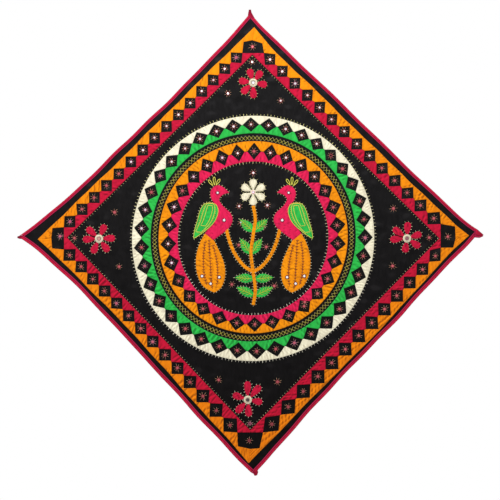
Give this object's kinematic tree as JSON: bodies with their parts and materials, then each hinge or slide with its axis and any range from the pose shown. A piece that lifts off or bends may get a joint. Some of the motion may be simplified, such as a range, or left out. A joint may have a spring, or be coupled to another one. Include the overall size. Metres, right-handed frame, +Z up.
{
  "type": "embroidered wall hanging",
  "caption": "Square black cotton panel hung by one corner, bound in crimson, with toothed cloth strips and rings, flowers, facing birds and small stitched mirrors.",
  "frame": {"origin": "tip of the top corner, where the wall holds the hanging, in the middle of the cloth's depth", "axes": "+Z up along the hanging's diagonal, +X to the right as seen from the front, front facing -Y"},
  "size_m": [0.8669, 0.0073, 0.867],
  "materials": {
    "ground": "matt black cotton",
    "binding": "folded crimson cotton tape",
    "orange": "matt orange cotton",
    "crimson": "matt crimson cotton",
    "cream": "matt cream cotton",
    "green": "matt green cotton",
    "pink": "matt pink cotton"
  },
  "bodies": {
    "root": {"binding_lower_left": "binding", "binding_lower_right": "binding", "binding_upper_left": "binding", "binding_upper_right": "binding", "body_left": "pink", "body_right": "pink", "branch_left": "orange", "branch_right": "orange", "cream_ring": "cream", "crimson_strip_lower_left": "crimson", "crimson_strip_lower_right": "crimson", "crimson_strip_upper_left": "crimson", "crimson_strip_upper_right": "crimson", "flower_bottom": "crimson", "flower_left": "crimson", "flower_right": "crimson", "flower_top": "crimson", "green_ring": "green", "ground_panel": "ground", "leaf_high_left": "green", "leaf_high_right": "green", "leaf_low_left": "green", "leaf_low_right": "green", "leaf_lowest_left": "green", "leaf_lowest_right": "green", "leaf_middle_left": "green", "leaf_middle_right": "green", "orange_ring": "orange", "orange_strip_lower_left": "orange", "orange_strip_lower_right": "orange", "orange_strip_upper_left": "orange", "orange_strip_upper_right": "orange", "pink_ring": "pink", "roundel_bottom": "cream", "roundel_left": "cream", "roundel_right": "cream", "roundel_top": "cream", "stem": "orange", "tail_left": "orange", "tail_right": "orange", "white_flower": "cream", "wing_left": "green", "wing_right": "green"}
  },
  "joints": []
}
